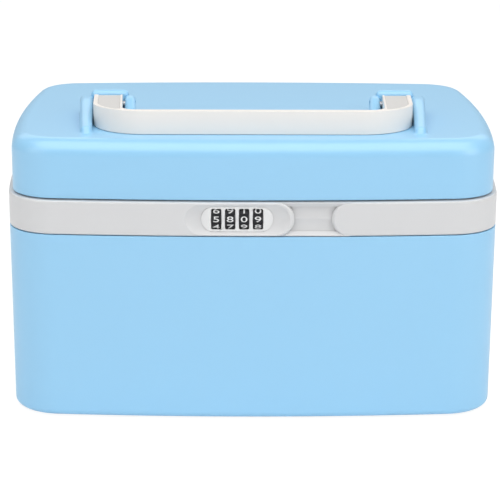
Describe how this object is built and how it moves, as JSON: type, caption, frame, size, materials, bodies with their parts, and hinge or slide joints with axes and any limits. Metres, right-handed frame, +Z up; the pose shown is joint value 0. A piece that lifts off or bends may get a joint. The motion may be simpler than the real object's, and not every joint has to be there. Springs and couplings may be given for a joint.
{
  "type": "medication lock box",
  "caption": "Lockable medicine box with a hinged lid, folding carrying handle, combination lock with a push button, and a lift-out tray.",
  "frame": {"origin": "on the ground, under the middle of the box", "axes": "+X to the right along the width, the front with the lock faces -Y, +Z up"},
  "size_m": [0.26, 0.18, 0.1601],
  "materials": {
    "blue_shell": "light blue moulded plastic, satin gloss",
    "grey_band": "pale grey moulded plastic, satin gloss",
    "handle_grey": "warm pale grey moulded plastic, satin gloss",
    "lock_face": "pale grey moulded plastic, smooth",
    "dial_black": "black moulded plastic, satin",
    "lock_metal": "plated steel",
    "spring_steel": "spring steel, drawn",
    "foot_rubber": "soft grey rubber, matte",
    "tray_plastic": "frosted pale plastic"
  },
  "bodies": {
    "base": {"base_tub": "blue_shell", "foot_pad_1": "foot_rubber", "foot_pad_2": "foot_rubber", "foot_pad_3": "foot_rubber", "foot_pad_4": "foot_rubber", "rim_band": "grey_band", "lock_bezel": "lock_face", "dial_axle": "lock_metal", "detent_spring": "spring_steel", "lock_cover": "grey_band", "cover_screw_1": "lock_metal", "cover_screw_2": "lock_metal", "hinge_pin_1": "lock_metal", "hinge_pin_2": "lock_metal"},
    "lid": {"lid_shell": "blue_shell", "lid_catch": "grey_band", "handle_pin_1": "lock_metal", "handle_pin_2": "lock_metal"},
    "handle": {"carry_handle": "handle_grey"},
    "dial_1": {"number_dial_1": "dial_black", "code_ring_1": "lock_metal"},
    "dial_2": {"number_dial_2": "dial_black", "code_ring_2": "lock_metal"},
    "dial_3": {"number_dial_3": "dial_black", "code_ring_3": "lock_metal"},
    "dial_4": {"number_dial_4": "dial_black", "code_ring_4": "lock_metal"},
    "button": {"latch_button": "grey_band", "latch_slider": "grey_band", "latch_spring": "spring_steel"},
    "reset": {"code_reset_lever": "dial_black"},
    "tray": {"lift_out_tray": "tray_plastic"}
  },
  "joints": [
    {"name": "lid_hinge", "type": "hinge", "parent": "base", "child": "lid", "pos_m": [0, 0.0866, 0.1214], "axis": [-1, 0, 0], "range_deg": [0, 105]},
    {"name": "handle_swing", "type": "hinge", "parent": "lid", "child": "handle", "pos_m": [0, -0.0175, 0.15365], "axis": [-1, 0, 0], "range_deg": [0, 90]},
    {"name": "dial_1_spin", "type": "hinge", "parent": "base", "child": "dial_1", "pos_m": [-0.01897, -0.0824, 0.10823], "axis": [1, 0, 0], "continuous": true},
    {"name": "dial_2_spin", "type": "hinge", "parent": "base", "child": "dial_2", "pos_m": [-0.01192, -0.0824, 0.10823], "axis": [1, 0, 0], "continuous": true},
    {"name": "dial_3_spin", "type": "hinge", "parent": "base", "child": "dial_3", "pos_m": [-0.00487, -0.0824, 0.10823], "axis": [1, 0, 0], "continuous": true},
    {"name": "dial_4_spin", "type": "hinge", "parent": "base", "child": "dial_4", "pos_m": [0.00217, -0.0824, 0.10823], "axis": [1, 0, 0], "continuous": true},
    {"name": "button_push", "type": "slide", "parent": "base", "child": "button", "axis": [0, 1, 0], "range_m": [0, 0.003], "stiffness_N_per_m": 300, "deforming": ["latch_spring"]},
    {"name": "reset_slide", "type": "slide", "parent": "base", "child": "reset", "axis": [1, 0, 0], "range_m": [0, 0.003]},
    {"name": "tray_lift", "type": "slide", "parent": "base", "child": "tray", "axis": [0, 0, 1], "range_m": [0, 0.022]}
  ]
}
